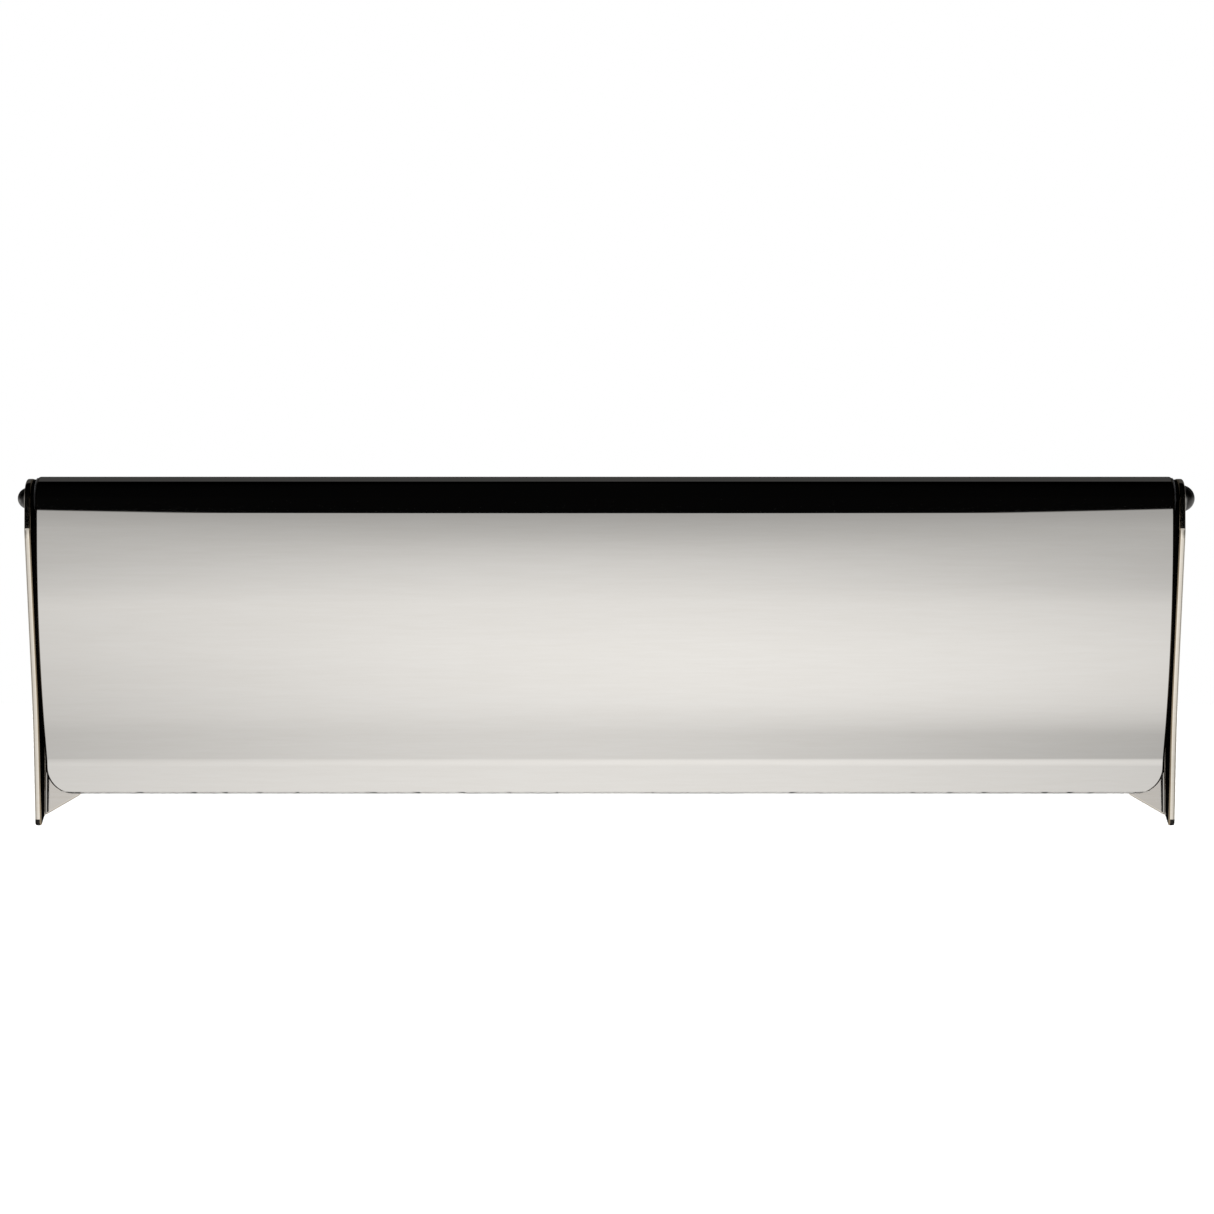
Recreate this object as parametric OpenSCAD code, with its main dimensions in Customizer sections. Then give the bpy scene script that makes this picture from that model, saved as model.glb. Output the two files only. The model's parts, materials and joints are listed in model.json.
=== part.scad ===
// Inside flap of a door letter plate: a curved sheet flap, rolled round a
// hinge rod, that swings between two folded side brackets.
// X runs along the flap, +Z is up and the room is on the -Y side.
// The origin is the centre of the four fixing holes, on the door's surface.

/* [Flap] */
// Width of the flap between its side edges
flap_w = 276; // [150:1:400]
// Height from the hinge axis down to the flap's bottom edge
flap_drop = 72.6; // [70:0.2:90]
// Thickness of the flap's sheet
flap_t = 1; // [0.8:0.1:1.2]
// Outside radius of the rolled top edge
roll_r = 5.3; // [5.2:0.1:5.8]
// Radius of the flap's long front curve
face_r = 155; // [150:1:160]
// Radius of the flap's two rounded bottom corners
corner_r = 6.6; // [3:0.2:10]
// Height from the hinge axis down to the crease above the lip
crease_drop = 63.8; // [62:0.2:66]

/* [Brackets] */
// Thickness of the brackets' sheet
plate_t = 1.5; // [1.4:0.1:1.6]
// Free space between the flap's edge and each bracket
side_gap = 0.5; // [0.5:0.1:1]
// How far each bracket stands out from the door
cheek_depth = 18.7; // [18:0.1:20]
// Width of each bracket's flange on the door
flange_w = 10.5; // [10:0.1:14]
// Radius inside the fold between cheek and flange
fold_r = 0.5; // [0.3:0.1:1]

/* [Fixing holes] */
// Distance from the upper to the lower hole
hole_pitch = 48; // [40:1:50]
// Radius of the clearance hole for a 3 mm countersunk wood screw
hole_r = 1.7; // [1.6:0.1:1.8]
// Radius of the countersink at the flange's front
sink_r = 2.8; // [2.6:0.1:2.9]

/* [Hinge] */
// Distance from the door's surface to the hinge axis
axis_out = 10.3; // [10.3:0.1:11]
// Radius of the hinge rod
rod_r = 2; // [1.8:0.1:2]
// Radius of the rod's own round head
rod_head_r = 3.25; // [2.8:0.05:3.6]
// Radius of the end screw's round head
screw_head_r = 2.65; // [2.4:0.05:3.2]
// Radius of the spring wire
wire_r = 0.35; // [0.3:0.05:0.4]
// Whole turns in each spring
spring_turns = 7; // [4:1:9]

/* [Hidden] */
$fn = 96;

running_gap = 0.05;
snug_gap = 0.02;
over = 1;

// Hinge axis, and the faces of the brackets along X.
axis_y = -axis_out;
hole_drop = 14;
axis_z = hole_pitch / 2 + hole_drop;
cheek_in = flap_w / 2 + side_gap;
cheek_out = cheek_in + plate_t;
fold_out_r = fold_r + plate_t;
fold_x = cheek_out - fold_out_r;
flange_x = cheek_out - flange_w;
hole_edge = 4;
hole_x = flange_x + hole_edge;

// Flap section, as angles from the vertical.
face_a = 20.3;
lip_a = 6;
face_start = 4;
crease_r = 8;
seam_a = 245;

// Side view of a cheek, with heights counted from the hinge axis.
cheek_top = 4.6;
top_flat_end = 4;
cheek_bottom = -80.2;
brow_z = -7.5;
brow_r = 12;
front_a = 12.4;
foot_a = 6;
waist_top = -45;
waist_r = 170;
tip_r = 0.8;
ear_bottom = -77.7;
ear_top = 2.1;
ear_slope = 30;
ear_r = 1.3;

// Rod, bushes and springs.
head_base = 0.6;
flat_out = 1.5;
tap_r = 1.25;
tap_depth = 9;
shank_len = 7;
slot_w = 0.8;
slot_depth = 1.1;
bush_len = 8;
bush_rim = 0.4;
bush_rim_r = 5;
bore_r = roll_r - flap_t;
coil_r = 2.9;
coil_pitch = 0.9;
coil_x = flap_w / 2 - bush_len - 1.5;
pin_a = 90;
leg_a = -120.3;
leg_bend = 0.8;
leg_tip = 6.5;
pin_tip = 0.6;
turn_steps = 16;
bend_steps = 4;
wire_sides = 8;

// ---- helpers -------------------------------------------------------------

function polar(r, a) = [r * cos(a), r * sin(a)];

// Points along an arc, both ends included.
function arc(c, r, from, to, n = 8) =
    [for (i = [0 : n]) c + polar(r, from + (to - from) * i / n)];

// Extrude a (Y, Z) section along +X from x0.
module along_x(length, x0) {
    translate([x0, 0, 0]) rotate([90, 0, 90]) linear_extrude(length) children();
}

// Extrude an (X, Z) outline along Y, right through the object.
module along_y() {
    translate([0, cheek_depth, 0]) rotate([90, 0, 0])
        linear_extrude(2 * cheek_depth + over) children();
}

// A cylinder along +X that starts at x0.
module rod_x(r, length, x0) {
    translate([x0, 0, 0]) rotate([0, 90, 0]) cylinder(r = r, h = length);
}

// Places its children on the hinge axis.
module on_axis() {
    translate([0, axis_y, axis_z]) children();
}

// A ring's sector between two angles at most 90 degrees apart.
module ring_sector(r_in, r_out, from, to) {
    reach = 3 * r_out;
    intersection() {
        difference() {
            circle(r_out, $fn = 360);
            circle(r_in, $fn = 360);
        }
        polygon([[0, 0], polar(reach, from), polar(reach, (from + to) / 2), polar(reach, to)]);
    }
}

// A round head with its flat face at the origin, standing along +Z.
module round_head(r) {
    rotate_extrude() {
        square([r, head_base]);
        intersection() {
            translate([0, head_base]) circle(r);
            translate([0, head_base]) square([r, r]);
        }
    }
}

// ---- flap ----------------------------------------------------------------

face_c = [face_r - roll_r, -face_start];
face_end = face_c + polar(face_r, 180 + face_a);
flat_len = (crease_drop + face_end[1]) / cos(face_a);
crease_start = face_end + flat_len * [sin(face_a), -cos(face_a)];
crease_c = crease_start - polar(crease_r, face_a);
lip_start = crease_c + polar(crease_r, lip_a);

// The flat below the long face, the crease that turns it back, and the lip.
module lower_sheet() {
    lip_end = lip_start + (flap_drop - crease_drop + over) * [sin(lip_a), -cos(lip_a)];
    polygon(concat(
        [face_end],
        arc(crease_c, crease_r, face_a, lip_a),
        [lip_end, lip_end + polar(flap_t, lip_a)],
        arc(crease_c, crease_r + flap_t, lip_a, face_a),
        [face_end + polar(flap_t, face_a)]));
}

// The bent sheet, seen along the rod: roll, long face, flat and lip.
module flap_section() {
    reach = 2 * roll_r;
    difference() {
        circle(roll_r);
        circle(bore_r);
        polygon([[0, 0], polar(reach, 180), polar(reach, (180 + seam_a) / 2),
                 polar(reach, seam_a)]);
    }
    translate([-roll_r, -face_start]) square([flap_t, face_start]);
    translate(face_c) ring_sector(face_r - flap_t, face_r, 180, 180 + face_a);
    lower_sheet();
}

// The flat blank's outline, with two rounded bottom corners.
module flap_blank() {
    half = flap_w / 2;
    translate([-half, corner_r - flap_drop]) square([flap_w, flap_drop - corner_r + 2 * roll_r]);
    translate([corner_r - half, -flap_drop]) square([flap_w - 2 * corner_r, corner_r + over]);
    for (side = [-1, 1])
        translate([side * (half - corner_r), corner_r - flap_drop]) circle(corner_r);
}

module flap() {
    color("gainsboro") on_axis() intersection() {
        along_x(flap_w, -flap_w / 2) flap_section();
        along_y() flap_blank();
    }
}

// ---- brackets ------------------------------------------------------------

// Fold of the sheet, seen from above: cheek, bend and flange.
module bracket_fold() {
    translate([cheek_in, -2 * cheek_depth]) square([plate_t, 2 * cheek_depth - fold_out_r]);
    translate([fold_x, -fold_out_r]) ring_sector(fold_r, fold_out_r, 0, 90);
    translate([flange_x, -plate_t]) square([fold_x - flange_x, plate_t]);
}

nose_c = [cheek_top - cheek_depth, 0];
brow_c = [brow_r - cheek_depth, brow_z];
brow_end = brow_c + polar(brow_r, 180 + front_a);
waist_start = [brow_end[0] + (brow_end[1] - waist_top) * tan(front_a), waist_top];
waist_c = waist_start - polar(waist_r, front_a);
waist_end = waist_c + polar(waist_r, foot_a);
foot_z = cheek_bottom + tip_r;
foot_y = waist_end[0] + (waist_end[1] - foot_z) * tan(foot_a);
tip_c = [foot_y + tip_r, foot_z];

// Outline of a cheek, seen from the side.
module cheek_outline() {
    rise = tan(ear_slope);
    tip_end = tip_c + polar(tip_r, 270 + ear_slope);
    polygon(concat(
        [[over, cheek_top - (over + top_flat_end) * rise], [-top_flat_end, cheek_top]],
        arc(nose_c, cheek_top, 90, 180, 12),
        arc(brow_c, brow_r, 180, 180 + front_a),
        arc(waist_c, waist_r, front_a, foot_a),
        arc(tip_c, tip_r, 180, 270 + ear_slope, 6),
        [[over, tip_end[1] + (over - tip_end[0]) * rise]]));
}

// Outline of a flange, seen from the front, on the +X side.
module flange_outline() {
    corner_x = flange_x + ear_r;
    corner_rise = (fold_x - corner_x) * tan(ear_slope) + ear_r / cos(ear_slope);
    wide = cheek_out + over;
    polygon(concat(
        [[wide, cheek_top + over], [cheek_in, cheek_top + over], [fold_x, ear_top]],
        arc([corner_x, ear_top - corner_rise], ear_r, 90 + ear_slope, 180),
        arc([corner_x, ear_bottom + corner_rise], ear_r, 180, 270 - ear_slope),
        [[fold_x, ear_bottom], [cheek_in, cheek_bottom - over], [wide, cheek_bottom - over]]));
}

// Two countersunk holes through the flange, on the +X side.
module fixing_holes() {
    sink = sink_r - hole_r;
    for (side = [-1, 1]) translate([hole_x, 0, side * hole_pitch / 2]) rotate([90, 0, 0]) {
        translate([0, 0, -over]) cylinder(r = hole_r, h = plate_t + 2 * over);
        translate([0, 0, plate_t - sink])
            cylinder(r1 = hole_r, r2 = hole_r + 2 * sink, h = 2 * sink);
    }
}

// A folded bracket on the +X side. Its child is cut out, for the rod.
module bracket() {
    difference() {
        intersection() {
            translate([0, 0, axis_z + cheek_bottom - over])
                linear_extrude(cheek_top - cheek_bottom + 2 * over) bracket_fold();
            translate([0, 0, axis_z]) along_x(2 * flange_w, flange_x - over) cheek_outline();
            translate([0, 0, axis_z]) along_y() flange_outline();
        }
        fixing_holes();
        on_axis() children();
    }
}

module left_bracket() {
    color("silver") mirror([1, 0, 0]) bracket()
        rod_x(rod_r + running_gap, 2 * plate_t, cheek_in - plate_t / 2);
}

module right_bracket() {
    color("silver") bracket() flatted(2 * plate_t, cheek_in - plate_t / 2, running_gap);
}

// ---- rod and its screw ---------------------------------------------------

// A stretch of rod with a flat on top that keeps it from turning.
module flatted(length, x0, gap) {
    difference() {
        rod_x(rod_r + gap, length, x0);
        translate([x0 - over, -2 * rod_r, flat_out + gap])
            cube([length + 2 * over, 4 * rod_r, rod_r]);
    }
}

module hinge_rod() {
    start = running_gap - cheek_out;
    color("dimgray") on_axis() {
        difference() {
            rod_x(rod_r, cheek_in - start, start);
            rod_x(tap_r + snug_gap, tap_depth + over, start - over);
            for (side = [-1, 1]) translate([side * coil_x, 0, 0])
                cylinder(r = wire_r + 2 * running_gap, h = 4 * rod_r, center = true);
        }
        flatted(plate_t, cheek_in, 0);
        translate([cheek_out, 0, 0]) rotate([0, 90, 0]) round_head(rod_head_r);
    }
}

module rod_end_screw() {
    tall = screw_head_r + head_base;
    color("dimgray") on_axis() difference() {
        union() {
            rod_x(tap_r, shank_len, -cheek_out);
            translate([-cheek_out, 0, 0]) rotate([0, -90, 0]) round_head(screw_head_r);
        }
        translate([-cheek_out - tall - over, -slot_w / 2, -2 * screw_head_r])
            cube([slot_depth + over, slot_w, 4 * screw_head_r]);
    }
}

// ---- bushes and springs --------------------------------------------------

// A rimmed bush in the end of the roll, on the +X side.
module bush() {
    on_axis() difference() {
        union() {
            rod_x(bore_r - snug_gap, bush_len, flap_w / 2 - bush_len);
            rod_x(bush_rim_r, bush_rim, flap_w / 2);
        }
        rod_x(rod_r + running_gap, bush_len + 2 * over, flap_w / 2 - bush_len - over);
    }
}

module left_bush() {
    color("black") mirror([1, 0, 0]) bush();
}

module right_bush() {
    color("black") bush();
}

// The wire's centre line on the +X side, as [x, radius, angle]: a pin that
// goes into the rod, the coil, and a leg that goes out through the seam.
bend_a = leg_bend / coil_r * 180 / PI;
coil_from = pin_a + 360 * spring_turns - bend_a;
coil_to = leg_a + bend_a;
coil_steps = ceil((coil_from - coil_to) / 360 * turn_steps);
coil_end_x = coil_x - coil_pitch * (coil_from - coil_to) / 360;

wire_line = concat(
    [[coil_x, pin_tip, coil_from + bend_a]],
    [for (i = [0 : bend_steps - 1])
        let (t = 90 * i / bend_steps)
        [coil_x, coil_r - leg_bend * (1 - sin(t)), coil_from + bend_a * cos(t)]],
    [for (i = [0 : coil_steps])
        let (s = i / coil_steps)
        [coil_x + s * (coil_end_x - coil_x), coil_r, coil_from + s * (coil_to - coil_from)]],
    [for (i = [1 : bend_steps])
        let (t = 90 * i / bend_steps)
        [coil_end_x, coil_r + leg_bend * (1 - cos(t)), coil_to - bend_a * sin(t)]],
    [[coil_end_x, leg_tip, leg_a]]);

wire_points = [for (w = wire_line) [w[0], w[1] * cos(w[2]), w[1] * sin(w[2])]];

function unit(v) = v / norm(v);

// A ring of points round the wire at point i, square to its run.
function wire_ring(i) =
    let (last = len(wire_points) - 1)
    let (run = unit(wire_points[min(i + 1, last)] - wire_points[max(i - 1, 0)]))
    let (u = unit([1, 0, 0] - run[0] * run))
    let (v = cross(run, u))
    [for (k = [0 : wire_sides - 1])
        let (a = 360 * k / wire_sides)
        wire_points[i] + wire_r * (cos(a) * u + sin(a) * v)];

// A torsion spring on the +X side: wound wire with one closed skin.
module spring() {
    rings = len(wire_points);
    points = [for (i = [0 : rings - 1]) each wire_ring(i)];
    sides = [for (i = [0 : rings - 2], k = [0 : wire_sides - 1])
        let (next = (k + 1) % wire_sides)
        let (here = i * wire_sides)
        let (there = here + wire_sides)
        [here + k, there + k, there + next, here + next]];
    near_cap = [for (k = [0 : wire_sides - 1]) k];
    far_cap = [for (k = [wire_sides - 1 : -1 : 0]) (rings - 1) * wire_sides + k];
    on_axis() polyhedron(points, concat([near_cap], sides, [far_cap]), convexity = 10);
}

module left_spring() {
    color("slategray") mirror([1, 0, 0]) spring();
}

module right_spring() {
    color("slategray") spring();
}

flap();
left_bracket();
right_bracket();
hinge_rod();
rod_end_screw();
left_bush();
right_bush();
left_spring();
right_spring();
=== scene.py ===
"""Looks of the letter plate's inside flap: polished nickel plate, studio light.

Lengths are metres. The frame is the CAD's: X along the hinge rod, Z up, the
room on the -Y side, the door's surface at y = 0.
"""
import json
import math

import bmesh
import bpy
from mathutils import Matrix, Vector


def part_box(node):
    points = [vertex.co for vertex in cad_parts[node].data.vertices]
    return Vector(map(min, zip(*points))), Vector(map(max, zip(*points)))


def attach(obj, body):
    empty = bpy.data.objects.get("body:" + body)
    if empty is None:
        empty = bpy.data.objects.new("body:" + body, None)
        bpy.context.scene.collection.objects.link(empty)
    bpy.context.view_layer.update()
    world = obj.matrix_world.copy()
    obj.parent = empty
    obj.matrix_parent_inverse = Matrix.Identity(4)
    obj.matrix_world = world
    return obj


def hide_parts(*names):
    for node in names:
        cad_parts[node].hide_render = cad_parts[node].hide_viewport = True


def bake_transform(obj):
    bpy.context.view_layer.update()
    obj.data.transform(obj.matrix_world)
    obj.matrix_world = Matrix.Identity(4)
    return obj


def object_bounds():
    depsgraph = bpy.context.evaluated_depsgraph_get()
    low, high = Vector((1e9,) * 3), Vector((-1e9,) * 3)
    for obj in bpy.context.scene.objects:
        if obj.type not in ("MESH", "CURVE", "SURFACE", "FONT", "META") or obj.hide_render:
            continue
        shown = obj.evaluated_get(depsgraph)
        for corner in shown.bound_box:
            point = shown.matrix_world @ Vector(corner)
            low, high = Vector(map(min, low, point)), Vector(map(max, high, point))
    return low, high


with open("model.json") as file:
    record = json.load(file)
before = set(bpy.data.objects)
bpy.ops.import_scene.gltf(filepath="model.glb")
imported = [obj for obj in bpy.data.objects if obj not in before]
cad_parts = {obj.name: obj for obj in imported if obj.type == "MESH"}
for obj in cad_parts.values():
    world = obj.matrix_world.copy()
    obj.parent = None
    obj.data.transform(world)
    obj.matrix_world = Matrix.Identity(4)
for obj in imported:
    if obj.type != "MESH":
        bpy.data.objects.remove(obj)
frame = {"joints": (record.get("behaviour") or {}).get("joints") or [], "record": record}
cad_low, cad_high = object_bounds()

MM = 0.001

# ---- sizes -----------------------------------------------------------------

AXIS_Y, AXIS_Z = frame["joints"][0]["pos_m"][1:3]
flap_low, flap_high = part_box("flap")
plate_low, plate_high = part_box("right_bracket")
rod_low, rod_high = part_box("hinge_rod")
screw_low, screw_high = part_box("rod_end_screw")
bush_low, bush_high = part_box("right_bush")

# Flap: a sheet rolled round the rod, then a long curve, a flat, a crease that
# turns it back, and a lip. Angles are degrees from the vertical, except the
# seam's, which goes round the rod from the door's side upwards.
FLAP_HALF = flap_high.x
FLAP_DROP = AXIS_Z - flap_low.z
ROLL_R = flap_high.z - AXIS_Z
FLAP_T = 1.0 * MM
FLAP_ARRIS = 0.5 * MM
FACE_R = 155 * MM
FACE_START = 4 * MM
FACE_A = 20.3
CREASE_DROP = 63.8 * MM
CREASE_R = 8 * MM
LIP_A = 6
CORNER_R = 6.6 * MM
SEAM_A = -115

# Brackets: a cheek, a tight fold and a flange on the door. The front and foot
# angles are degrees from the vertical, the ear's slope from the level.
PLATE_T = 1.5 * MM
PLATE_ARRIS = 0.4 * MM
FOLD_IN_R = 0.5 * MM
FOLD_OUT_R = FOLD_IN_R + PLATE_T
FOLD_MID_R = FOLD_IN_R + PLATE_T / 2
FOLD_LENGTH = FOLD_MID_R * math.pi / 2
CHEEK_OUT = plate_high.x
CHEEK_IN = CHEEK_OUT - PLATE_T
CHEEK_DEPTH = -plate_low.y
CHEEK_TOP = plate_high.z - AXIS_Z
CHEEK_BOTTOM = plate_low.z - AXIS_Z
FOLD_X = CHEEK_OUT - FOLD_OUT_R
FLANGE_X = plate_low.x
TOP_FLAT_END = 4 * MM
BROW_Z = -7.5 * MM
BROW_R = 12 * MM
FRONT_A = 12.4
WAIST_TOP = -45 * MM
WAIST_R = 170 * MM
FOOT_A = 6
TIP_R = 0.8 * MM
EAR_TOP = 2.1 * MM
EAR_BOTTOM = -77.7 * MM
EAR_R = 1.3 * MM
EAR_SLOPE = 30
LEAN_BACK = 0.07 * MM
# How far above the bottom the bracket's tip edge is painted dark as shade.
SHADED_TIP_TOP = CHEEK_BOTTOM + 1.5 * MM

# Fixing holes, from the record's mount.
HOLES = frame["record"]["mounts"][0]["dims"]
HOLE_X = HOLES["spacing_x_mm"] / 2 * MM
HOLE_Z = HOLES["spacing_y_mm"] / 2 * MM
HOLE_R = HOLES["hole_r_mm"] * MM
SINK_R = 2.8 * MM

# Rod, end screw, bushes and springs. Angles go round the rod from the door's
# side upwards, in degrees.
ROD_R = 2 * MM
HEAD_R = (rod_high.z - rod_low.z) / 2
SCREW_HEAD_R = (screw_high.z - screw_low.z) / 2
HEAD_BASE = 0.6 * MM
TAP_R = 1.27 * MM
TAP_DEPTH = 9 * MM
SHANK_R = 1.25 * MM
SHANK_LENGTH = 7 * MM
THREAD_DEPTH = 0.16 * MM
THREAD_TURNS = 14
PLAIN_SHANK = 1.2 * MM
SLOT_WIDTH = 0.8 * MM
SLOT_DEPTH = 1.1 * MM
FLAT_OUT = 1.5 * MM
GAP = 0.05 * MM
BUSH_R = ROLL_R - FLAP_T - 0.02 * MM
BUSH_RIM_R = (bush_high.z - bush_low.z) / 2
WIRE_R = 0.35 * MM
COIL_R = 2.9 * MM
COIL_PITCH = 0.9 * MM
COIL_X = bush_low.x - 1.5 * MM
COIL_TURNS = 7
LEG_A = -120.3
LEG_BEND = 0.8 * MM
LEG_TIP = 6.5 * MM
PIN_TIP = 0.6 * MM
BEND_A = math.degrees(LEG_BEND / COIL_R)
COIL_START_A = 90 + 360 * COIL_TURNS - BEND_A
COIL_END_A = LEG_A + BEND_A
COIL_END_X = COIL_X - COIL_PITCH * (COIL_START_A - COIL_END_A) / 360


# ---- mesh helpers ----------------------------------------------------------

def polar(radius, degrees):
    """A vector of that length at that angle, in a plane."""
    angle = math.radians(degrees)
    return Vector((radius * math.cos(angle), radius * math.sin(angle)))


def between(a, b, share):
    return a + (b - a) * share


def shares(count):
    """1/count, 2/count, and so on up to 1."""
    return [i / count for i in range(1, count + 1)]


def arc(centre, radius, start, end, steps):
    """Points along an arc, both ends included."""
    return [Vector(centre) + polar(radius, between(start, end, share))
            for share in [0] + shares(steps)]


def new_object(name, mesh):
    obj = bpy.data.objects.new(name, mesh)
    bpy.context.scene.collection.objects.link(obj)
    return obj


def object_from(name, bm, materials=()):
    """A smooth-shaded object made from bm, with its normals outwards."""
    bmesh.ops.remove_doubles(bm, verts=bm.verts, dist=1e-7)
    bmesh.ops.recalc_face_normals(bm, faces=bm.faces)
    mesh = bpy.data.meshes.new(name)
    bm.to_mesh(mesh)
    bm.free()
    mesh.shade_smooth()
    for material in materials:
        mesh.materials.append(material)
    return new_object(name, mesh)


def bake(obj):
    """Applies every modifier of obj."""
    graph = bpy.context.evaluated_depsgraph_get()
    mesh = bpy.data.meshes.new_from_object(obj.evaluated_get(graph))
    obj.modifiers.clear()
    obj.data = mesh
    return obj


def soften(obj, width):
    """Rounds obj's edges by their bevel weight. The rounded strips take the
    object's second material."""
    bevel = obj.modifiers.new("arris", "BEVEL")
    bevel.width = width
    bevel.segments = 3
    bevel.limit_method = "WEIGHT"
    bevel.use_clamp_overlap = False
    bevel.material = 1
    return bake(obj)


def cut(obj, cutters):
    """Takes the cutters out of obj and deletes them."""
    for cutter in cutters:
        boolean = obj.modifiers.new("cut", "BOOLEAN")
        boolean.operation = "DIFFERENCE"
        boolean.solver = "EXACT"
        boolean.object = cutter
    bake(obj)
    for cutter in cutters:
        bpy.data.objects.remove(cutter)
    return obj


def shade(obj, sharp=35):
    """Smooth shading that keeps flats flat and edges above that angle sharp."""
    obj.data.shade_smooth()
    obj.data.set_sharp_from_angle(angle=math.radians(sharp))
    normals = obj.modifiers.new("normals", "WEIGHTED_NORMAL")
    normals.keep_sharp = True
    return obj


def lathe(name, profile, steps=96):
    """Turns (x, radius) points about the hinge axis. A profile that starts and
    ends on the axis is capped; otherwise it is closed into a ring."""
    bm = bmesh.new()
    rings = []
    for x, radius in profile:
        if radius == 0:
            rings.append([bm.verts.new((x, AXIS_Y, AXIS_Z))] * steps)
            continue
        ring = []
        for k in range(steps):
            spot = polar(radius, 360 * k / steps)
            ring.append(bm.verts.new((x, AXIS_Y + spot[0], AXIS_Z + spot[1])))
        rings.append(ring)
    if profile[0][1] > 0:
        rings.append(rings[0])
    for near, far in zip(rings, rings[1:]):
        for k in range(steps):
            corners = [near[k - 1], near[k], far[k], far[k - 1]]
            unique = list(dict.fromkeys(corners))
            if len(unique) > 2:
                bm.faces.new(unique)
    return object_from(name, bm)


def box_object(name, low, high):
    bm = bmesh.new()
    bmesh.ops.create_cube(bm, size=1)
    for vert in bm.verts:
        vert.co = Vector([between(low[i], high[i], vert.co[i] + 0.5) for i in range(3)])
    return object_from(name, bm)


def mirrored(obj, name):
    """A copy of obj on the other side of x = 0."""
    mesh = obj.data.copy()
    for vert in mesh.vertices:
        vert.co.x = -vert.co.x
    mesh.flip_normals()
    return new_object(name, mesh)


def add_materials(obj, *materials):
    for material in materials:
        obj.data.materials.append(material)


def stand_for(obj, node, body):
    """obj takes a CAD node's place and rides on its body."""
    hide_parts(node)
    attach(obj, body)


# ---- flap ------------------------------------------------------------------

def flap_rows():
    """The sheet's rows from the seam to the lip, each a point on the front
    face, the face's normal and the sheet's half width there."""
    rows = []
    for share in [0] + shares(90):
        out = polar(1, between(SEAM_A, 180, share))
        rows.append((out * ROLL_R, out))
    for share in shares(16):
        rows.append((Vector((-ROLL_R, -FACE_START * share)), Vector((-1, 0))))

    face_c = Vector((FACE_R - ROLL_R, -FACE_START))
    for share in shares(72):
        out = polar(1, 180 + FACE_A * share)
        rows.append((face_c + out * FACE_R, out))

    face_end, out = rows[-1]
    down = Vector((math.sin(math.radians(FACE_A)), -math.cos(math.radians(FACE_A))))
    flat = (CREASE_DROP + face_end[1]) / math.cos(math.radians(FACE_A))
    for share in shares(8):
        rows.append((face_end + down * flat * share, out))
    crease_c = rows[-1][0] - polar(CREASE_R, FACE_A)
    for share in shares(16):
        back = polar(1, between(FACE_A, LIP_A, share))
        rows.append((crease_c + back * CREASE_R, -back))

    lip_start, out = rows[-1]
    lean = math.tan(math.radians(LIP_A))
    corner_z = CORNER_R - FLAP_DROP
    heights = [between(lip_start[1], corner_z, share) for share in shares(3)]
    heights += [corner_z - CORNER_R * math.sin(math.pi / 2 * share) for share in shares(16)]
    for z in heights:
        rows.append((Vector((lip_start[0] + (lip_start[1] - z) * lean, z)), out))
    return [(point, normal, half_width(point[1])) for point, normal in rows]


def half_width(z):
    """Half the flap's width at a height, less where its corners are round."""
    into = CORNER_R - FLAP_DROP - z
    if into <= 0:
        return FLAP_HALF
    return FLAP_HALF - CORNER_R + math.sqrt(max(CORNER_R ** 2 - into ** 2, 0))


def flap_object(materials):
    """The flap. Its columns stand closer together towards the ends."""
    rows = flap_rows()
    columns = 36
    across = [-math.cos(math.pi * share) for share in [0] + shares(columns)]
    bm = bmesh.new()
    weight = bm.edges.layers.float.new("bevel_weight_edge")
    skins = []
    for depth in (0, FLAP_T):
        skin = []
        for point, normal, half in rows:
            y, z = point - normal * depth
            skin.append([bm.verts.new((half * place, AXIS_Y + y, AXIS_Z + z))
                         for place in across])
        skins.append(skin)
        for above, below in zip(skin, skin[1:]):
            for j in range(columns):
                bm.faces.new((above[j], above[j + 1], below[j + 1], below[j]))

    def outline(skin):
        left = [row[0] for row in skin]
        right = [row[-1] for row in skin]
        return left + skin[-1][1:-1] + right[::-1] + skin[0][-2:0:-1]

    front, back = (outline(skin) for skin in skins)
    for k in range(len(front)):
        bm.faces.new((front[k - 1], front[k], back[k], back[k - 1]))

    # How wide each edge is rounded, as a share of the arris.
    for loop, on_roll in ((front, 1), (back, 0.4)):
        for k in range(len(loop)):
            edge = bm.edges.get((loop[k - 1], loop[k]))
            rolled = min(v.co.z for v in edge.verts) > AXIS_Z - FACE_START
            edge[weight] = on_roll if rolled else 0.9
    obj = object_from("flap_sheet", bm, materials)
    return shade(soften(obj, FLAP_ARRIS))


# ---- brackets --------------------------------------------------------------

# Places in a bracket's list of materials: its faces, the cheek's inner arris,
# painted shade on the inside of the cheek and at the bottom tip, and the cut edges.
FACES, INNER_ARRIS, PAINTED_SHADE, CUT_EDGES = range(4)


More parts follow.
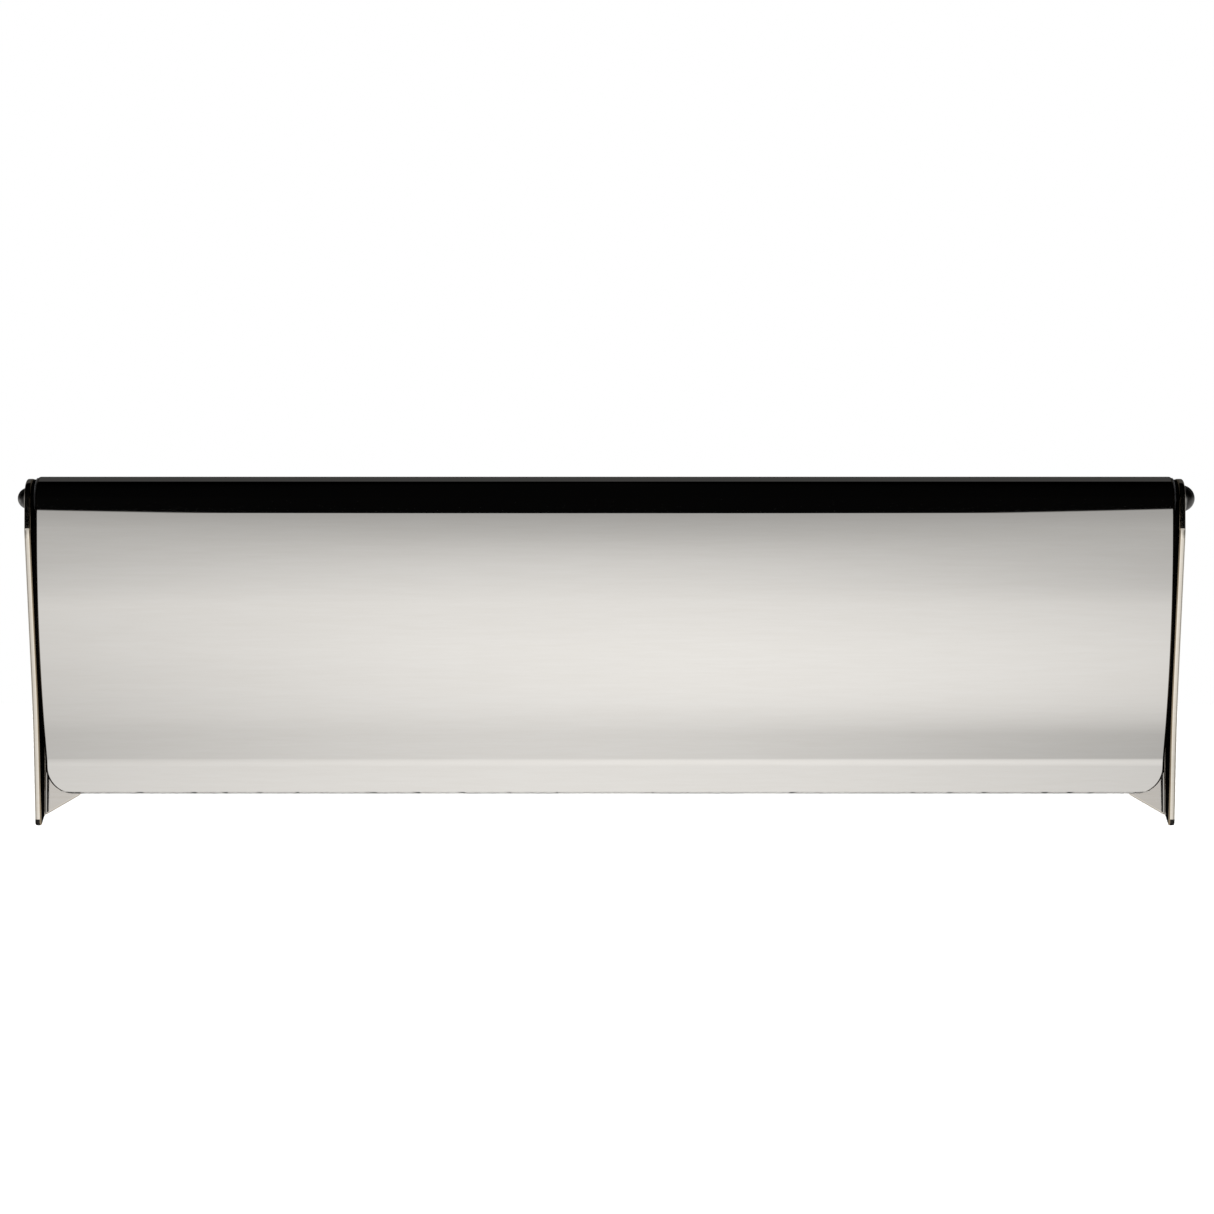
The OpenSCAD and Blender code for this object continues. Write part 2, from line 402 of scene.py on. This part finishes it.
def cheek_edge():
    """The cheek's free edge as (y, z) from the hinge axis, top to bottom, from
    the end of the fold round to the end of the fold again."""
    rise = math.tan(math.radians(EAR_SLOPE))
    nose_c = Vector((CHEEK_TOP - CHEEK_DEPTH + LEAN_BACK, 0))
    brow_c = Vector((BROW_R - CHEEK_DEPTH, BROW_Z))
    brow_end = brow_c + polar(BROW_R, 180 + FRONT_A)
    run = (brow_end[1] - WAIST_TOP) * math.tan(math.radians(FRONT_A))
    waist_c = Vector((brow_end[0] + run, WAIST_TOP)) - polar(WAIST_R, FRONT_A)
    waist_end = waist_c + polar(WAIST_R, FOOT_A)
    foot_z = CHEEK_BOTTOM + TIP_R
    foot_run = math.tan(math.radians(FOOT_A))
    foot_y = waist_end[0] + (waist_end[1] - foot_z) * foot_run
    shaded_tip_y = waist_end[0] + (waist_end[1] - SHADED_TIP_TOP) * foot_run
    tip_c = Vector((foot_y + TIP_R, foot_z))
    tip_end = tip_c + polar(TIP_R, 270 + EAR_SLOPE)

    fold_top = CHEEK_TOP - (TOP_FLAT_END - FOLD_OUT_R) * rise
    fold_bottom = tip_end[1] - (FOLD_OUT_R + tip_end[0]) * rise
    edge = [Vector((-FOLD_OUT_R, fold_top)), Vector((-TOP_FLAT_END, CHEEK_TOP))]
    edge += arc(nose_c, CHEEK_TOP, 90, 180, 24)
    edge += arc(brow_c, BROW_R, 180, 180 + FRONT_A, 12)
    edge += arc(waist_c, WAIST_R, FRONT_A, FOOT_A, 12)
    edge.append(Vector((shaded_tip_y, SHADED_TIP_TOP)))
    edge += arc(tip_c, TIP_R, 180, 270 + EAR_SLOPE, 10)
    edge.append(Vector((-FOLD_OUT_R, fold_bottom)))
    return edge


def flange_edge():
    """The flange's free edge as (x, z), bottom to top, between the fold's ends."""
    corner_x = FLANGE_X + EAR_R
    slope = math.radians(EAR_SLOPE)
    rise = (FOLD_X - corner_x) * math.tan(slope) + EAR_R / math.cos(slope)
    return ([Vector((FOLD_X, EAR_BOTTOM))]
            + arc((corner_x, EAR_BOTTOM + rise), EAR_R, 270 - EAR_SLOPE, 180, 8)
            + arc((corner_x, EAR_TOP - rise), EAR_R, 180, 90 + EAR_SLOPE, 8)
            + [Vector((FOLD_X, EAR_TOP))])


def folded(run, z, offset):
    """A point of the bracket. run is the distance along its middle surface from
    the start of the fold, below zero on the flange; offset is outwards."""
    if run <= 0:
        x, y, out = FOLD_X + run, -PLATE_T / 2, (0, 1)
    elif run < FOLD_LENGTH:
        out = (math.sin(run / FOLD_MID_R), math.cos(run / FOLD_MID_R))
        x, y = FOLD_X + FOLD_MID_R * out[0], FOLD_MID_R * out[1] - FOLD_OUT_R
    else:
        x, y, out = CHEEK_IN + PLATE_T / 2, FOLD_LENGTH - FOLD_OUT_R - run, (1, 0)
    return (x + offset * out[0], y + offset * out[1], AXIS_Z + z)


def bracket_object(name, flatted, materials):
    """The bracket on the +X side, with its holes. The edge of its bottom tip is
    painted near black as shade, like the inside of the cheek."""
    cheek = [(FOLD_LENGTH - FOLD_OUT_R - y, z) for y, z in cheek_edge()]
    flange = [(x - FOLD_X, z) for x, z in flange_edge()]
    steps = 8
    top = [(FOLD_LENGTH * share, between(flange[-1][1], cheek[0][1], share))
           for share in shares(steps)[:-1]]
    bottom = [(FOLD_LENGTH * share, between(flange[0][1], cheek[-1][1], share))
              for share in shares(steps)[:-1]]
    fold_top = [flange[-1]] + top + [cheek[0]]
    fold_bottom = [flange[0]] + bottom + [cheek[-1]]
    edge = flange + top + cheek + bottom[::-1]

    # The inner and the outer side, each with its share of the arris.
    bm = bmesh.new()
    weight = bm.edges.layers.float.new("bevel_weight_edge")
    loops = []
    for offset, strength in ((-PLATE_T / 2, 0.75), (PLATE_T / 2, 1)):
        verts = {spot: bm.verts.new(folded(*spot, offset)) for spot in edge}
        bm.faces.new([verts[spot] for spot in flange])
        cheek_face = bm.faces.new([verts[spot] for spot in cheek])
        # The cheek's inner side is painted near black: painted shade.
        cheek_face.material_index = PAINTED_SHADE if offset < 0 else FACES
        for i in range(steps):
            bm.faces.new([verts[spot] for spot in (fold_top[i], fold_top[i + 1],
                                                   fold_bottom[i + 1], fold_bottom[i])])
        loop = [verts[spot] for spot in edge]
        loops.append((loop, strength))
    inner, outer = loops[0][0], loops[1][0]
    for k in range(len(edge)):
        rim = bm.faces.new((inner[k - 1], inner[k], outer[k], outer[k - 1]))
        # The rim at the bottom tip is painted dark: painted shade.
        at_tip = rim.calc_center_median().z < AXIS_Z + SHADED_TIP_TOP
        rim.material_index = PAINTED_SHADE if at_tip else CUT_EDGES
    for loop, strength in loops:
        for k in range(len(loop)):
            bm.edges.get((loop[k - 1], loop[k]))[weight] = strength
    obj = soften(object_from(name, bm, materials), PLATE_ARRIS)
    # Rounded strips off the cheek's inner arris take the cut edges' finish, or painted shade at
    # the bottom tip.
    for face in obj.data.polygons:
        on_inner_arris = CHEEK_IN - GAP < face.center.x < CHEEK_IN + PLATE_T / 2
        if face.material_index == INNER_ARRIS and not on_inner_arris:
            at_tip = face.center.z < AXIS_Z + SHADED_TIP_TOP
            face.material_index = PAINTED_SHADE if at_tip else CUT_EDGES

    cutters = [countersink(side * HOLE_Z) for side in (-1, 1)]
    cutters.append(rod_cutter(flatted))
    return shade(cut(obj, cutters))


def countersink(z):
    """A cutter for one fixing hole through the +X flange."""
    sink = SINK_R - HOLE_R
    profile = ((MM, HOLE_R), (sink - PLATE_T, HOLE_R), (-PLATE_T - sink, SINK_R + sink))
    bm = bmesh.new()
    steps = 64
    rings = [[bm.verts.new((HOLE_X + polar(radius, 360 * k / steps)[0], y,
                            z + polar(radius, 360 * k / steps)[1])) for k in range(steps)]
             for y, radius in profile]
    for near, far in zip(rings, rings[1:]):
        for k in range(steps):
            bm.faces.new((near[k - 1], near[k], far[k], far[k - 1]))
    bm.faces.new(rings[0])
    bm.faces.new(rings[-1])
    return object_from("countersink", bm)


def rod_cutter(flatted):
    """A cutter for the rod's hole in the +X cheek, flat on top if flatted."""
    radius = ROD_R + GAP
    cutter = lathe("rod_hole", [(CHEEK_IN - MM, 0), (CHEEK_IN - MM, radius),
                                (CHEEK_OUT + MM, radius), (CHEEK_OUT + MM, 0)])
    if flatted:
        for vert in cutter.data.vertices:
            vert.co.z = min(vert.co.z, AXIS_Z + FLAT_OUT + GAP)
    return cutter


# ---- rod, end screw, bushes and springs ------------------------------------

def dome(x, radius, sign):
    """A round head's profile from its rim on a cheek to its top; sign is the
    side it points to."""
    nick = 0.12 * MM
    rim = [(x, radius - nick), (x + sign * nick, radius), (x + sign * HEAD_BASE, radius)]
    cap = [(x + sign * (HEAD_BASE + radius * math.sin(a)), radius * math.cos(a))
           for a in [math.pi / 2 * i / 24 for i in range(1, 24)]]
    return rim + cap + [(x + sign * (HEAD_BASE + radius), 0)]


def paint_rim_highlight(obj, radius):
    """Gives the rim of obj's round head, its outermost 4%, the second material: lighter steel,
    a painted highlight round the head.
    """
    for face in obj.data.polygons:
        reach = math.hypot(face.center.y - AXIS_Y, face.center.z - AXIS_Z)
        if reach > 0.96 * radius:
            face.material_index = 1


def rod_object():
    """The rod: its head, its tapped end, a flat and the springs' cross-holes."""
    start = GAP - CHEEK_OUT
    nick = 0.2 * MM
    obj = lathe("hinge_rod_turned",
                [(start + TAP_DEPTH, 0), (start + TAP_DEPTH, TAP_R), (start, TAP_R),
                 (start, ROD_R - nick), (start + nick, ROD_R), (CHEEK_OUT, ROD_R)]
                + dome(CHEEK_OUT, HEAD_R, 1))
    cutters = [box_object("flat", (CHEEK_IN, AXIS_Y - 2 * ROD_R, AXIS_Z + FLAT_OUT),
                          (CHEEK_OUT, AXIS_Y + 2 * ROD_R, AXIS_Z + 2 * ROD_R))]
    for side in (-1, 1):
        bm = bmesh.new()
        bmesh.ops.create_cone(bm, cap_ends=True, segments=24, radius1=WIRE_R + 2 * GAP,
                              radius2=WIRE_R + 2 * GAP, depth=4 * ROD_R)
        bmesh.ops.translate(bm, verts=bm.verts, vec=(side * COIL_X, AXIS_Y, AXIS_Z))
        cutters.append(object_from("cross_hole", bm))
    return shade(cut(obj, cutters), 30)


def screw_object():
    """The end screw: a threaded shank and a slotted head."""
    end = SHANK_LENGTH - CHEEK_OUT
    nick = 0.25 * MM
    thread = []
    pitch = (SHANK_LENGTH - PLAIN_SHANK) / THREAD_TURNS
    for i in range(THREAD_TURNS):
        x = end - nick - pitch * i
        thread += [(x, SHANK_R), (x - pitch / 2, SHANK_R - THREAD_DEPTH)]
    obj = lathe("end_screw_turned",
                [(end, 0), (end, SHANK_R - nick)] + thread + [(-CHEEK_OUT, SHANK_R)]
                + dome(-CHEEK_OUT, SCREW_HEAD_R, -1))
    tall = CHEEK_OUT + HEAD_BASE + SCREW_HEAD_R
    beyond = 2 * SCREW_HEAD_R
    slot = box_object("slot", (-tall - MM, AXIS_Y - SLOT_WIDTH / 2, AXIS_Z - beyond),
                      (SLOT_DEPTH - tall, AXIS_Y + SLOT_WIDTH / 2, AXIS_Z + beyond))
    return shade(cut(obj, [slot]), 30)


def bush_object(name):
    """The rimmed bush on the +X side."""
    inner, outer, end = bush_low.x, bush_high.x, FLAP_HALF
    bore, nick, lead = ROD_R + GAP, 0.08 * MM, 0.4 * MM
    return shade(lathe(name, [
        (inner, bore + nick), (inner, BUSH_R - nick), (inner + lead, BUSH_R), (end, BUSH_R),
        (end, BUSH_RIM_R - nick), (end + nick, BUSH_RIM_R), (outer - nick, BUSH_RIM_R),
        (outer, BUSH_RIM_R - nick), (outer, bore + nick), (outer - nick, bore),
        (inner + nick, bore)]), 40)


def spring_object(name, side):
    """A torsion spring: a pin in the rod, the coil, and a leg out of the seam.
    Points are (x, radius, angle) about the rod, on the +X side."""
    steps = math.ceil((COIL_START_A - COIL_END_A) / 12)
    line = [(COIL_X, PIN_TIP, COIL_START_A + BEND_A)]
    bend = [math.pi / 2 * share for share in [0] + shares(6)]
    for t in bend[:-1]:
        line.append((COIL_X, COIL_R - LEG_BEND * (1 - math.sin(t)),
                     COIL_START_A + BEND_A * math.cos(t)))
    for share in [0] + shares(steps):
        line.append((between(COIL_X, COIL_END_X, share), COIL_R,
                     between(COIL_START_A, COIL_END_A, share)))
    for t in bend[1:]:
        line.append((COIL_END_X, COIL_R + LEG_BEND * (1 - math.cos(t)),
                     COIL_END_A - BEND_A * math.sin(t)))
    line.append((COIL_END_X, LEG_TIP, LEG_A))

    curve = bpy.data.curves.new(name, "CURVE")
    curve.dimensions = "3D"
    curve.bevel_depth = WIRE_R
    curve.bevel_resolution = 4
    curve.use_fill_caps = True
    spline = curve.splines.new("POLY")
    spline.points.add(len(line) - 1)
    for knot, (x, radius, angle) in zip(spline.points, line):
        spot = polar(radius, angle)
        knot.co = (side * x, AXIS_Y + spot[0], AXIS_Z + spot[1], 1)
    wire = new_object(name + "_line", curve)
    graph = bpy.context.evaluated_depsgraph_get()
    mesh = bpy.data.meshes.new_from_object(wire.evaluated_get(graph))
    bpy.data.objects.remove(wire)
    return shade(new_object(name, mesh), 50)


# ---- materials -------------------------------------------------------------

class Nodes:
    """A short way to build a node tree."""

    def __init__(self, owner):
        owner.use_nodes = True
        self.tree = owner.node_tree
        self.tree.nodes.clear()

    def add(self, kind, inputs=None, **settings):
        node = self.tree.nodes.new(kind)
        for key, value in settings.items():
            setattr(node, key, value)
        for key, value in (inputs or {}).items():
            self.set(node.inputs[key], value)
        return node

    def set(self, socket, value):
        if isinstance(value, bpy.types.NodeSocket):
            self.tree.links.new(value, socket)
        else:
            socket.default_value = value

    def math(self, operation, *values, clamp=False):
        node = self.add("ShaderNodeMath", operation=operation, use_clamp=clamp)
        for socket, value in zip(node.inputs, values):
            self.set(socket, value)
        return node.outputs[0]

    def noise(self, stretch, scale, detail=4, rough=0.5, offset=0):
        """Noise in object space, with each axis scaled by stretch."""
        place = self.add("ShaderNodeTexCoord").outputs["Object"]
        mapped = self.add("ShaderNodeMapping", {"Vector": place, "Scale": stretch,
                                                "Location": (offset, 0, 0)})
        return self.add("ShaderNodeTexNoise", {"Vector": mapped.outputs[0], "Scale": scale,
                                               "Detail": detail, "Roughness": rough}).outputs[0]

    def spread(self, value, low, high, to_low, to_high):
        """value's low to high becomes to_low to to_high, kept within them."""
        return self.add("ShaderNodeMapRange", {"Value": value, "From Min": low,
                                               "From Max": high, "To Min": to_low,
                                               "To Max": to_high}).outputs[0]

    def mix(self, share, a, b):
        node = self.add("ShaderNodeMix", data_type="RGBA")
        self.set(node.inputs[0], share)
        self.set(node.inputs[6], a)
        self.set(node.inputs[7], b)
        return node.outputs[2]


def rgba(red, green, blue):
    return (red, green, blue, 1)


def finish_material(nodes, **inputs):
    names = {key.replace("_", " "): value for key, value in inputs.items()}
    shader = nodes.add("ShaderNodeBsdfPrincipled", names)
    nodes.add("ShaderNodeOutputMaterial", {"Surface": shader.outputs[0]})


def nickel(name, colour, worn, polish, grazing=(1, 1, 1)):
    """Polished nickel plate: fine grain along X from the polishing wheel, soft
    handling smudges, and slight waves in the sheet. polish is its roughness,
    grazing its tint seen edge on."""
    material = bpy.data.materials.new(name)
    nodes = Nodes(material)
    grain = nodes.noise((75, 1100, 1100), 1, 6, 0.65)
    streak = nodes.noise((3, 120, 120), 1, 3, 0.5, 7)
    smudge = nodes.noise((22, 60, 60), 1, 5, 0.6, 3)
    wave = nodes.noise((9, 22, 22), 1, 2, 0.4, 5)
    hazy = nodes.spread(smudge, 0.52, 0.75, 0, 1)
    lines = nodes.math("MULTIPLY", nodes.spread(grain, 0.3, 0.7, 0, 1), 0.55)
    tint = nodes.math("MULTIPLY", nodes.spread(streak, 0.35, 0.7, 0, 1), 0.25)
    base = nodes.mix(nodes.math("ADD", lines, tint), colour, worn)
    base = nodes.mix(nodes.math("MULTIPLY", hazy, 0.25), base, worn)
    rough = nodes.math("ADD", polish, nodes.math("MULTIPLY", grain, 0.4 * polish))
    rough = nodes.math("ADD", rough, nodes.math("MULTIPLY", hazy, 0.5 * polish))
    bump = nodes.add("ShaderNodeBump", {"Strength": 0.01, "Distance": 0.5 * MM, "Height": wave})
    finish_material(nodes, Base_Color=base, Metallic=1.0, Roughness=rough,
                    Specular_Tint=rgba(*grazing), Normal=bump.outputs[0])
    return material


def turned_steel(name, colour, worn):
    """Steel in its given colour, with faint turning rings and rubbed patches."""
    material = bpy.data.materials.new(name)
    nodes = Nodes(material)
    rings = nodes.noise((5000, 300, 300), 1, 3, 0.6)
    patch = nodes.noise((700, 700, 700), 1, 4, 0.6, 2)
    base = nodes.mix(nodes.spread(patch, 0.5, 0.75, 0, 1), colour, worn)
    rough = nodes.math("ADD", nodes.spread(rings, 0.3, 0.7, 0.22, 0.34),
                       nodes.math("MULTIPLY", patch, 0.08))
    bump = nodes.add("ShaderNodeBump", {"Strength": 0.15, "Distance": 0.05 * MM,
                                        "Height": rings})
    finish_material(nodes, Base_Color=base, Metallic=1.0, Roughness=rough,
                    Normal=bump.outputs[0])
    return material


def nylon():
    """Black moulded nylon with a fine satin texture."""
    material = bpy.data.materials.new("moulded_nylon")
    nodes = Nodes(material)
    pores = nodes.noise((4000, 4000, 4000), 1, 4, 0.6)
    cloud = nodes.noise((500, 500, 500), 1, 3, 0.5, 4)
    base = nodes.mix(nodes.spread(cloud, 0.3, 0.7, 0, 1), rgba(0.016, 0.016, 0.017),
                     rgba(0.034, 0.034, 0.035))
    bump = nodes.add("ShaderNodeBump", {"Strength": 0.2, "Distance": 0.03 * MM,
                                        "Height": pores})
    finish_material(nodes, Base_Color=base, Roughness=nodes.spread(pores, 0.3, 0.7, 0.4, 0.55),
                    Normal=bump.outputs[0])
    return material


# ---- build -----------------------------------------------------------------

flap_nickel = nickel("flap_nickel", rgba(0.812, 0.790, 0.754), rgba(0.77, 0.742, 0.70), 0.005)
plate_nickel = nickel("bracket_nickel", rgba(0.96, 0.92, 0.87), rgba(0.88, 0.82, 0.74), 0.06)
cut_edge = nickel("cut_edge", rgba(0.92, 0.86, 0.77), rgba(0.86, 0.78, 0.66), 0.03)
# Painted shade: near-black nickel, dark even edge on, for the cheek's inner side and the
# bracket's bottom tip.
dull_inside = nickel("dull_inside", rgba(0.035, 0.033, 0.03), rgba(0.06, 0.055, 0.05), 0.3,
                     (0.1, 0.1, 0.1))
worn_edge = nickel("worn_edge", rgba(0.60, 0.50, 0.36), rgba(0.52, 0.40, 0.26), 0.06)
# Painted shade: the flap's rounded edges are dark brown, for the shadow round the sheet's edge.
flap_edge = nickel("flap_edge", rgba(0.26, 0.22, 0.17), rgba(0.22, 0.17, 0.12), 0.2)
# Painted dark reflection: the heads' steel is near black.
head_steel = turned_steel("head_steel", rgba(0.12, 0.115, 0.11), rgba(0.24, 0.23, 0.22))
# Painted highlight: lighter steel for the rims of the heads.
rubbed_steel = turned_steel("rubbed_steel", rgba(0.6, 0.59, 0.57), rgba(0.45, 0.43, 0.41))
wire_steel = turned_steel("wire_steel", rgba(0.42, 0.42, 0.42), rgba(0.58, 0.57, 0.55))
moulded_nylon = nylon()

flap = flap_object([flap_nickel, flap_edge])
stand_for(flap, "flap", "flap")

bracket_finish = [plate_nickel, worn_edge, dull_inside, cut_edge]
right_bracket = bracket_object("right_bracket_sheet", True, bracket_finish)
plain_bracket = bracket_object("plain_bracket", False, bracket_finish)
left_bracket = shade(mirrored(plain_bracket, "left_bracket_sheet"))
bpy.data.objects.remove(plain_bracket)
for bracket, node in ((left_bracket, "left_bracket"), (right_bracket, "right_bracket")):
    stand_for(bracket, node, "frame")

rod = rod_object()
add_materials(rod, head_steel, rubbed_steel)
paint_rim_highlight(rod, HEAD_R)
stand_for(rod, "hinge_rod", "frame")
screw = screw_object()
add_materials(screw, head_steel, rubbed_steel)
paint_rim_highlight(screw, SCREW_HEAD_R)
stand_for(screw, "rod_end_screw", "frame")

right_bush = bush_object("right_bush_moulded")
left_bush = shade(mirrored(right_bush, "left_bush_moulded"), 40)
for bush, node in ((left_bush, "left_bush"), (right_bush, "right_bush")):
    add_materials(bush, moulded_nylon)
    stand_for(bush, node, "flap")

# Each spring's wire takes its CAD node's place.
for side, node in ((-1, "left_spring"), (1, "right_spring")):
    spring = spring_object(node + "_wire", side)
    add_materials(spring, wire_steel)
    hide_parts(node)
    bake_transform(spring)

# ---- studio ----------------------------------------------------------------

FLOOR_DROP = 0.26
CAMERA_RIGHT = 0.5 * MM
CAMERA_AWAY = 0.65
CAMERA_BELOW_AXIS = 26.5 * MM

# The dark canopy's lower border: its slope above the horizon straight ahead,
# how it bows up to the sides, more to the right, as far as a limit, and how
# soft it is. Then how bright the canopy is, as a share of what is below it.
BAND_SLOPE = 0.03377
BAND_BOW = 0.0551
BAND_TURN = 0.01
BOW_LIMIT = 0.05
BORDER_WIDTH = 0.0003
CANOPY_GLOW = 0.004

# How bright the studio looks in the polished metal at each height in degrees,
# in front of the object below the dark canopy.
FRONT_GLOW = ((-90, 0.06), (-70, 0.12), (-56, 0.42), (-48, 0.72), (-43, 0.83), (-37, 0.95),
              (-33, 0.99), (-25, 1.0), (-16.3, 0.945), (-12.9, 0.88), (-8.1, 0.78),
              (-4.9, 0.685), (-1.7, 0.56), (2, 0.445), (5, 0.41))

# How fast the studio darkens towards both sides, and each height's share of it.
SIDE_FALL = 6.5
FALL_SHARE = ((-90, 0.9), (-43, 0.9), (-39, 0.65), (-16, 0.65), (-12, 1), (-8, 1), (-5.5, 0.75),
              (-3, 0.35), (-1, 0), (3, 0), (8, 1))

# How much brighter each height is towards the right than towards the left.
SIDE_LEAN = ((-90, -0.5), (-44, -0.45), (-41, -0.07), (-36, 0.24), (-30, 0.27), (-22, 0.12),
             (-17, -0.05), (-12, -0.2), (0, -0.15))

# The same behind and beside the object.
BACK_GLOW = ((-90, 0.25), (-45, 0.65), (-10, 0.75), (4, 0.35), (12, 0.06), (90, 0.055))


def glow_ramp(nodes, height, stops, shift=0):
    """A value that follows stops of (degrees above the horizon, value). A shift
    keeps values below zero inside the ramp's range."""
    ramp = nodes.add("ShaderNodeValToRGB", {"Fac": height})
    points = ramp.color_ramp.elements
    points.remove(points[1])
    for i, (degrees, value) in enumerate(stops):
        spot = (degrees + 90) / 180
        point = points[0] if i == 0 else points.new(spot)
        point.position = spot
        point.color = rgba(*[value + shift] * 3)
    level = nodes.add("ShaderNodeRGBToBW", {"Color": ramp.outputs[0]}).outputs[0]
    return nodes.math("SUBTRACT", level, shift)


def studio_world():
    """White for the camera. In reflections, a pale sweep in front that fades
    to the sides, with a dark canopy above it, and a dim room behind."""
    world = bpy.data.worlds.new("studio")
    bpy.context.scene.world = world
    nodes = Nodes(world)
    way = nodes.add("ShaderNodeTexCoord").outputs["Generated"]
    x, y, z = nodes.add("ShaderNodeSeparateXYZ", {"Vector": way}).outputs
    height = nodes.math("ADD", nodes.math("DIVIDE", nodes.math("ARCSINE", z), math.pi), 0.5)
    forward = nodes.math("MAXIMUM", nodes.math("MULTIPLY", y, -1), 0.001)
    slope = nodes.math("DIVIDE", z, forward)
    turn = nodes.math("DIVIDE", x, forward)
    aside = nodes.math("MULTIPLY", turn, turn)

    bow = nodes.math("MULTIPLY", turn, nodes.math("ADD", turn, BAND_TURN))
    bow = nodes.math("MINIMUM", bow, BOW_LIMIT)
    band = nodes.math("ADD", nodes.math("MULTIPLY", bow, BAND_BOW), BAND_SLOPE)
    under = nodes.math("SUBTRACT", band, slope)
    open_sky = nodes.spread(under, 0, BORDER_WIDTH, CANOPY_GLOW, 1)
    rate = nodes.math("MULTIPLY", glow_ramp(nodes, height, FALL_SHARE), SIDE_FALL)
    fall = nodes.math("ADD", nodes.math("MULTIPLY", aside, rate), 1)
    lean = nodes.math("MULTIPLY", glow_ramp(nodes, height, SIDE_LEAN, 1),
                      nodes.spread(turn, -1, 1, -1, 1))
    front = nodes.math("DIVIDE", glow_ramp(nodes, height, FRONT_GLOW), fall)
    front = nodes.math("MULTIPLY", front, nodes.math("ADD", lean, 1))
    front = nodes.math("MULTIPLY", front, open_sky)
    ahead = nodes.spread(y, -0.06, -0.02, 1, 0)
    front = nodes.math("MULTIPLY", front, ahead)

    back = glow_ramp(nodes, height, BACK_GLOW)
    low = nodes.spread(z, -0.15, 0, 1, 0)
    behind = nodes.spread(y, 0.14, 0.2, 0, 1)
    beside = nodes.math("MULTIPLY", nodes.spread(y, -0.7, 0.1, 0, 1), low)
    back = nodes.math("MULTIPLY", back, nodes.math("MAXIMUM", behind, beside))
    glow = nodes.math("MAXIMUM", front, back)

    metal = nodes.add("ShaderNodeBackground", {"Color": rgba(1, 1, 1), "Strength": glow})
    white = nodes.add("ShaderNodeBackground", {"Color": rgba(1, 1, 1), "Strength": 1.0})
    seen = nodes.add("ShaderNodeLightPath").outputs["Is Camera Ray"]
    both = nodes.add("ShaderNodeMixShader", {"Fac": seen})
    nodes.set(both.inputs[1], metal.outputs[0])
    nodes.set(both.inputs[2], white.outputs[0])
    nodes.add("ShaderNodeOutputWorld", {"Surface": both.outputs[0]})


def studio_floor():
    """A plain pale floor, below the object and kept out of its reflections."""
    bm = bmesh.new()
    bmesh.ops.create_grid(bm, x_segments=8, y_segments=8, size=8)
    bmesh.ops.translate(bm, verts=bm.verts, vec=(0, 0, cad_low.z - FLOOR_DROP))
    floor = object_from("floor", bm)
    material = bpy.data.materials.new("pale_floor")
    nodes = Nodes(material)
    cloud = nodes.noise((6, 6, 6), 1, 4, 0.5)
    base = nodes.mix(cloud, rgba(0.88, 0.88, 0.88), rgba(0.90, 0.90, 0.90))
    finish_material(nodes, Base_Color=base, Roughness=0.9)
    add_materials(floor, material)
    floor.visible_glossy = False


def add_light(name, kind, spot, target, energy, size):
    """A soft white light that doesn't show in the metal. A sun's size is its
    angle."""
    light = bpy.data.lights.new(name, kind)
    light.energy = energy
    if kind == "SUN":
        light.angle = size
    else:
        light.size = size
    obj = new_object(name, light)
    obj.location = spot
    obj.rotation_euler = (Vector(target) - Vector(spot)).to_track_quat("-Z", "Y").to_euler()
    obj.visible_glossy = False
    obj.visible_camera = False


def camera():
    """Level, square to the door, a little below the hinge."""
    cam = bpy.data.cameras.new("camera")
    cam.lens = 80
    cam.sensor_width = 36
    obj = new_object("camera", cam)
    obj.location = (CAMERA_RIGHT, plate_low.y - CAMERA_AWAY, AXIS_Z - CAMERA_BELOW_AXIS)
    obj.rotation_euler = (math.pi / 2, 0, 0)
    bpy.context.scene.camera = obj


studio_world()
studio_floor()
add_light("overhead", "SUN", (0.3, -0.4, 2), (0, 0, 0), 4.6, math.radians(70))
add_light("softbox", "AREA", (-0.6, -0.9, 0.5), (0, 0, 0), 6, 0.8)
camera()
bpy.context.scene.view_settings.view_transform = "Standard"
